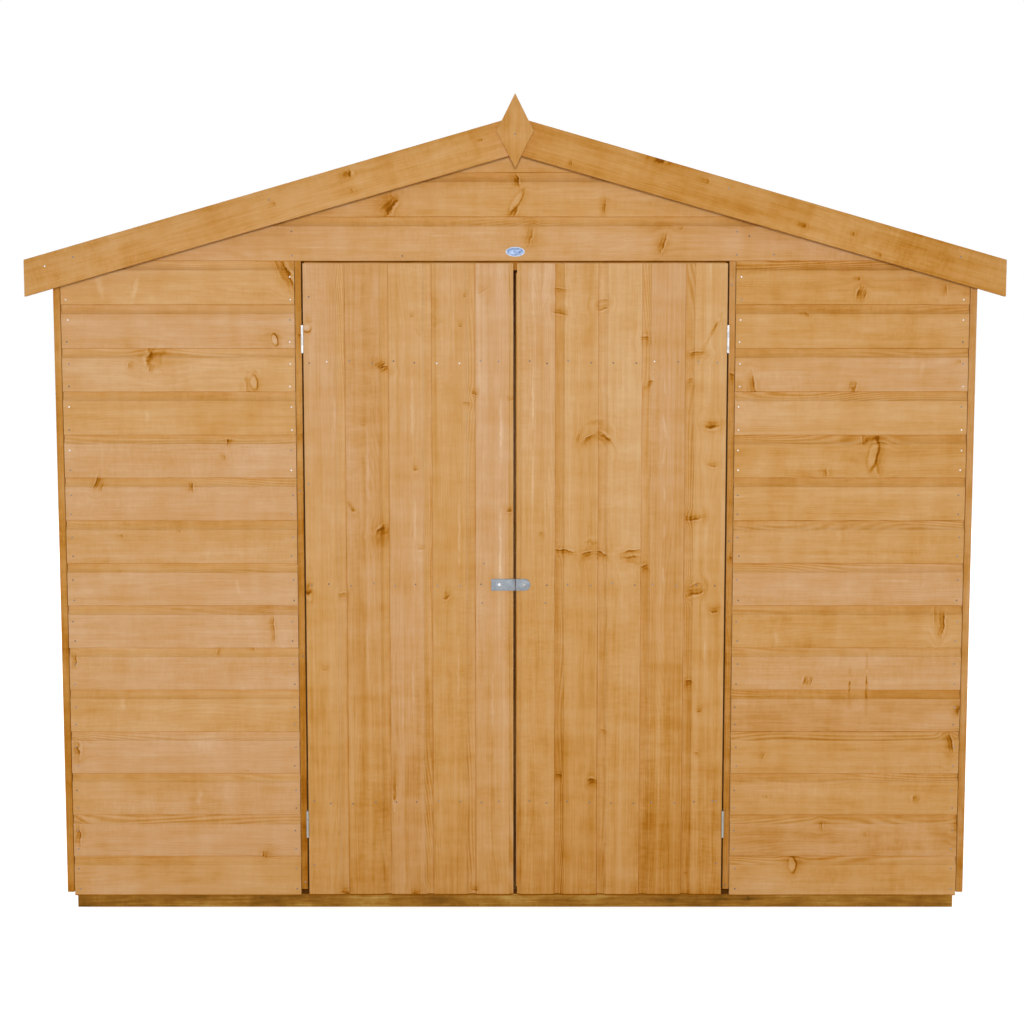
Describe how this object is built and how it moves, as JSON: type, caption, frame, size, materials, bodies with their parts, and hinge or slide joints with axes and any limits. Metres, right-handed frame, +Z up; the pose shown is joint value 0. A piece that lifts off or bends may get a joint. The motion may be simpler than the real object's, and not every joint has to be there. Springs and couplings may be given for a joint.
{
  "type": "garden shed",
  "caption": "Wooden apex garden shed, hollow inside, with shiplap walls, hinged gable doors, felted pitched roof, barge boards and diamond finials.",
  "frame": {"origin": "on the ground under the middle of the shed", "axes": "-Y out of the door front, +X to the right seen from the front, +Z up"},
  "size_m": [2.514, 3.146, 2.1437],
  "materials": {
    "board_wood": "dip-treated softwood boards, golden tan, matt",
    "trim_wood": "dip-treated softwood strips, orange tan, matt",
    "frame_wood": "sawn softwood, pale, matt",
    "bearer_wood": "pressure-treated softwood, olive brown, matt",
    "roofing_felt": "mineral roofing felt, dark green grey, rough",
    "zinc_steel": "galvanised, dull",
    "plate_metal": "satin, blank"
  },
  "bodies": {
    "shed": {"floor_bearers": "bearer_wood", "floor_boards": "frame_wood", "front_left_cladding": "board_wood", "front_right_cladding": "board_wood", "front_gable_cladding": "board_wood", "front_posts": "frame_wood", "front_rails": "frame_wood", "front_rafters": "frame_wood", "jamb_strips": "trim_wood", "left_cladding": "board_wood", "left_studs": "frame_wood", "left_rails": "frame_wood", "right_cladding": "board_wood", "right_studs": "frame_wood", "right_rails": "frame_wood", "back_cladding": "board_wood", "back_studs": "frame_wood", "back_rail": "frame_wood", "back_rafters": "frame_wood", "corner_strips": "trim_wood", "left_roof_boards": "board_wood", "right_roof_boards": "board_wood", "purlins": "frame_wood", "left_felt": "roofing_felt", "right_felt": "roofing_felt", "front_left_barge": "trim_wood", "front_right_barge": "trim_wood", "back_left_barge": "trim_wood", "back_right_barge": "trim_wood", "front_finial": "trim_wood", "back_finial": "trim_wood", "name_plate": "plate_metal", "post_hinge_leaves": "zinc_steel"},
    "left_door": {"left_door_boards": "board_wood", "left_door_stiles": "frame_wood", "left_door_ledges": "frame_wood", "left_door_braces": "frame_wood", "left_door_hinges": "zinc_steel", "left_latch_plate": "zinc_steel"},
    "right_door": {"right_door_boards": "board_wood", "right_door_stiles": "frame_wood", "right_door_ledges": "frame_wood", "right_door_braces": "frame_wood", "right_door_hinges": "zinc_steel", "right_latch_plate": "zinc_steel"}
  },
  "joints": [
    {"name": "left_door_hinge", "type": "hinge", "parent": "shed", "child": "left_door", "pos_m": [-0.5525, -1.504, 0], "axis": [0, 0, -1], "range_deg": [0, 165]},
    {"name": "right_door_hinge", "type": "hinge", "parent": "shed", "child": "right_door", "pos_m": [0.5525, -1.504, 0], "axis": [0, 0, 1], "range_deg": [0, 165]}
  ]
}
